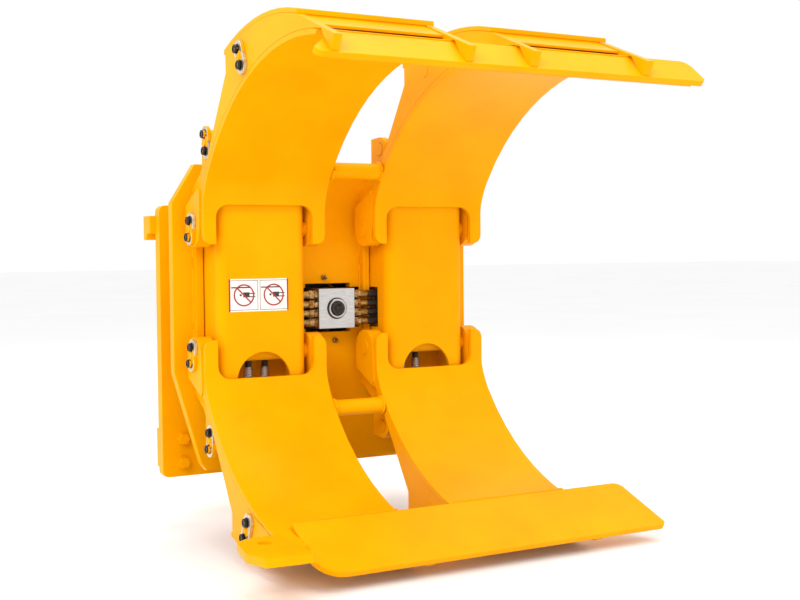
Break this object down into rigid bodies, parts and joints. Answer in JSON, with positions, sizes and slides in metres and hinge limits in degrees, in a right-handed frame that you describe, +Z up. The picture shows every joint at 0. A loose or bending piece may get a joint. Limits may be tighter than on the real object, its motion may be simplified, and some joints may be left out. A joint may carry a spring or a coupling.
{
  "type": "rotating clamp attachment",
  "caption": "Yellow forklift attachment with curved steel clamp arms on a rotating face plate, moved by hydraulic cylinders.",
  "frame": {"origin": "on the turning axis, in the rear face of the carriage plate", "axes": "+X to the right seen from the front, -Y forward towards the load, +Z up"},
  "size_m": [1.08, 1.001, 1.1857],
  "materials": {
    "yellow_paint": "gloss enamel",
    "zinc_plate": "zinc plated",
    "machined_steel": "machined",
    "chrome_rod": "hard chrome",
    "dark_iron": "oiled",
    "hose_rubber": "matt"
  },
  "bodies": {
    "carriage": {"carriage_plate": "yellow_paint", "upper_hook_bar": "yellow_paint", "lower_hook_left": "yellow_paint", "lower_hook_right": "yellow_paint", "bearing_race": "dark_iron", "swivel_spindle": "dark_iron", "drive_gearbox": "dark_iron", "drive_motor": "dark_iron"},
    "pinion": {"drive_pinion": "machined_steel"},
    "turning_frame": {"ring_gear": "machined_steel", "face_plate": "yellow_paint", "manifold_block": "machined_steel", "left_column": "yellow_paint", "left_cheek_outer": "yellow_paint", "left_cheek_inner": "yellow_paint", "left_hoses": "hose_rubber", "right_column": "yellow_paint", "right_cheek_outer": "yellow_paint", "right_cheek_inner": "yellow_paint", "right_hoses": "hose_rubber", "upper_left_base_pin": "zinc_plate", "upper_right_base_pin": "zinc_plate", "lower_left_base_pin": "zinc_plate", "lower_right_base_pin": "zinc_plate"},
    "upper_arm": {"upper_pad": "yellow_paint", "upper_tie_tube": "yellow_paint", "upper_left_inner_plate": "yellow_paint", "upper_left_side_outer": "yellow_paint", "upper_left_side_inner": "yellow_paint", "upper_left_cover": "yellow_paint", "upper_left_pivot_pin": "zinc_plate", "upper_left_rod_pin": "zinc_plate", "upper_right_inner_plate": "yellow_paint", "upper_right_side_outer": "yellow_paint", "upper_right_side_inner": "yellow_paint", "upper_right_cover": "yellow_paint", "upper_right_pivot_pin": "zinc_plate", "upper_right_rod_pin": "zinc_plate"},
    "lower_arm": {"lower_pad": "yellow_paint", "lower_tie_tube": "yellow_paint", "lower_left_inner_plate": "yellow_paint", "lower_left_side_outer": "yellow_paint", "lower_left_side_inner": "yellow_paint", "lower_left_cover": "yellow_paint", "lower_left_pivot_pin": "zinc_plate", "lower_left_rod_pin": "zinc_plate", "lower_right_inner_plate": "yellow_paint", "lower_right_side_outer": "yellow_paint", "lower_right_side_inner": "yellow_paint", "lower_right_cover": "yellow_paint", "lower_right_pivot_pin": "zinc_plate", "lower_right_rod_pin": "zinc_plate"},
    "upper_left_cylinder_tube": {"upper_left_barrel": "dark_iron"},
    "upper_left_cylinder_rod": {"upper_left_rod": "chrome_rod"},
    "upper_right_cylinder_tube": {"upper_right_barrel": "dark_iron"},
    "upper_right_cylinder_rod": {"upper_right_rod": "chrome_rod"},
    "lower_left_cylinder_tube": {"lower_left_barrel": "dark_iron"},
    "lower_left_cylinder_rod": {"lower_left_rod": "chrome_rod"},
    "lower_right_cylinder_tube": {"lower_right_barrel": "dark_iron"},
    "lower_right_cylinder_rod": {"lower_right_rod": "chrome_rod"}
  },
  "joints": [
    {"name": "rotator_turn", "type": "hinge", "parent": "carriage", "child": "turning_frame", "pos_m": [0, 0, 0], "axis": [0, -1, 0], "continuous": true},
    {"name": "pinion_spin", "type": "hinge", "parent": "carriage", "child": "pinion", "pos_m": [0.12929, -0.085, 0.16548], "axis": [0, -1, 0], "continuous": true},
    {"name": "upper_arm_close", "type": "hinge", "parent": "turning_frame", "child": "upper_arm", "pos_m": [0, -0.22, 0.199], "axis": [1, 0, 0], "range_deg": [0, 28]},
    {"name": "lower_arm_close", "type": "hinge", "parent": "turning_frame", "child": "lower_arm", "pos_m": [0, -0.22, -0.099], "axis": [-1, 0, 0], "range_deg": [0, 28]},
    {"name": "upper_left_cylinder_tilt", "type": "hinge", "parent": "turning_frame", "child": "upper_left_cylinder_tube", "pos_m": [-0.228, -0.263, 0.399], "axis": [1, 0, 0], "range_deg": [0, 36.5]},
    {"name": "upper_left_cylinder_extend", "type": "slide", "parent": "upper_left_cylinder_tube", "child": "upper_left_cylinder_rod", "axis": [0, -0.8517, 0.5241], "range_m": [0, 0.088]},
    {"name": "upper_right_cylinder_tilt", "type": "hinge", "parent": "turning_frame", "child": "upper_right_cylinder_tube", "pos_m": [0.228, -0.263, 0.399], "axis": [1, 0, 0], "range_deg": [0, 36.5]},
    {"name": "upper_right_cylinder_extend", "type": "slide", "parent": "upper_right_cylinder_tube", "child": "upper_right_cylinder_rod", "axis": [0, -0.8517, 0.5241], "range_m": [0, 0.088]},
    {"name": "lower_left_cylinder_tilt", "type": "hinge", "parent": "turning_frame", "child": "lower_left_cylinder_tube", "pos_m": [-0.228, -0.263, -0.299], "axis": [-1, 0, 0], "range_deg": [0, 36.5]},
    {"name": "lower_left_cylinder_extend", "type": "slide", "parent": "lower_left_cylinder_tube", "child": "lower_left_cylinder_rod", "axis": [0, -0.8517, -0.5241], "range_m": [0, 0.088]},
    {"name": "lower_right_cylinder_tilt", "type": "hinge", "parent": "turning_frame", "child": "lower_right_cylinder_tube", "pos_m": [0.228, -0.263, -0.299], "axis": [-1, 0, 0], "range_deg": [0, 36.5]},
    {"name": "lower_right_cylinder_extend", "type": "slide", "parent": "lower_right_cylinder_tube", "child": "lower_right_cylinder_rod", "axis": [0, -0.8517, -0.5241], "range_m": [0, 0.088]}
  ],
  "couplings": [
    {"joint": "pinion_spin", "follows": "rotator_turn", "ratio": -4},
    {"joint": "upper_left_cylinder_tilt", "follows": "upper_arm_close", "ratio": 1.2854},
    {"joint": "upper_left_cylinder_extend", "follows": "upper_arm_close", "m_per_rad": 0.17683},
    {"joint": "upper_right_cylinder_tilt", "follows": "upper_arm_close", "ratio": 1.2854},
    {"joint": "upper_right_cylinder_extend", "follows": "upper_arm_close", "m_per_rad": 0.17683},
    {"joint": "lower_left_cylinder_tilt", "follows": "lower_arm_close", "ratio": 1.2854},
    {"joint": "lower_left_cylinder_extend", "follows": "lower_arm_close", "m_per_rad": 0.17683},
    {"joint": "lower_right_cylinder_tilt", "follows": "lower_arm_close", "ratio": 1.2854},
    {"joint": "lower_right_cylinder_extend", "follows": "lower_arm_close", "m_per_rad": 0.17683}
  ]
}
